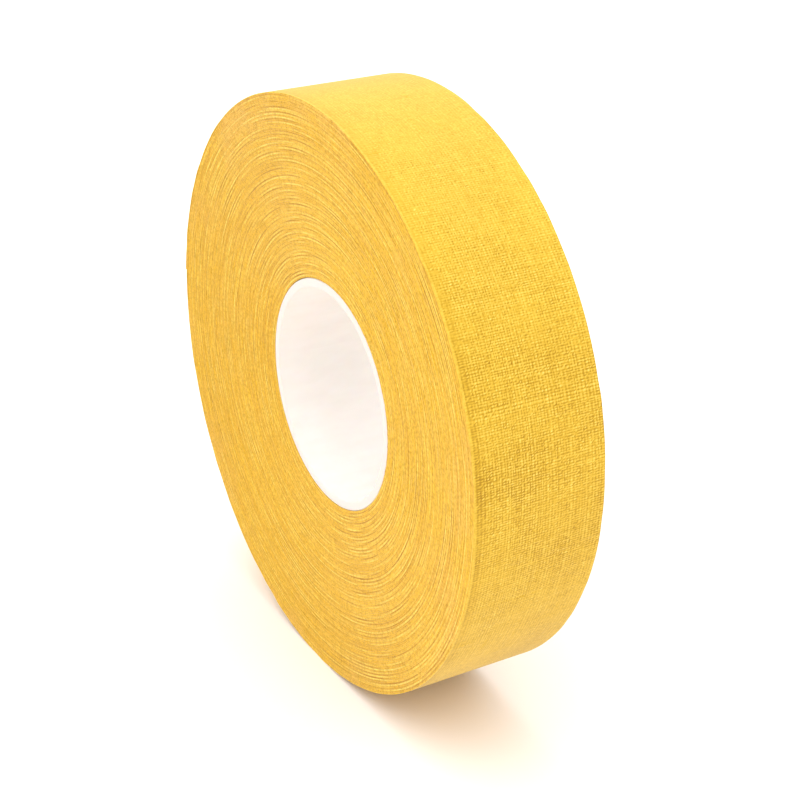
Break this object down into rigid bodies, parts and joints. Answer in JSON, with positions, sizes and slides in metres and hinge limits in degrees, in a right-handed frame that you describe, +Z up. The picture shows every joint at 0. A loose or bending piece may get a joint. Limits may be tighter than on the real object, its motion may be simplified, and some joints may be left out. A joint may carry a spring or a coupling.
{
  "type": "grip tape roll",
  "caption": "Roll of bright yellow woven cloth grip tape on a thin white core tube, standing on its edge, with a free end that peels.",
  "frame": {"origin": "centre of the core's bore, halfway along the core", "axes": "+Y along the bore, from the dished side face towards the coned one; +Z up, with the roll standing on its edge; +X completes the right-handed frame"},
  "size_m": [0.1051, 0.0272, 0.1053],
  "materials": {
    "core_plastic": "satin",
    "cloth": "matt woven",
    "adhesive": "tacky"
  },
  "bodies": {
    "roll": {"core_tube": "core_plastic", "wound_cloth": "cloth", "wound_adhesive": "adhesive"},
    "free_end_1": {"free_end_cloth_1": "cloth", "free_end_adhesive_1": "adhesive"},
    "free_end_2": {"free_end_cloth_2": "cloth", "free_end_adhesive_2": "adhesive"},
    "free_end_3": {"free_end_cloth_3": "cloth", "free_end_adhesive_3": "adhesive"}
  },
  "joints": [
    {"name": "free_end_peel", "type": "hinge", "parent": "roll", "child": "free_end_1", "pos_m": [-0.03258, 0, 0.0417], "axis": [0, 1, 0], "range_deg": [0, 75]},
    {"name": "free_end_bend_1", "type": "hinge", "parent": "free_end_1", "child": "free_end_2", "pos_m": [-0.04226, 0, 0.03185], "axis": [0, 1, 0], "range_deg": [0, 22.5]},
    {"name": "free_end_bend_2", "type": "hinge", "parent": "free_end_2", "child": "free_end_3", "pos_m": [-0.04907, 0, 0.01982], "axis": [0, 1, 0], "range_deg": [0, 22.5]}
  ]
}
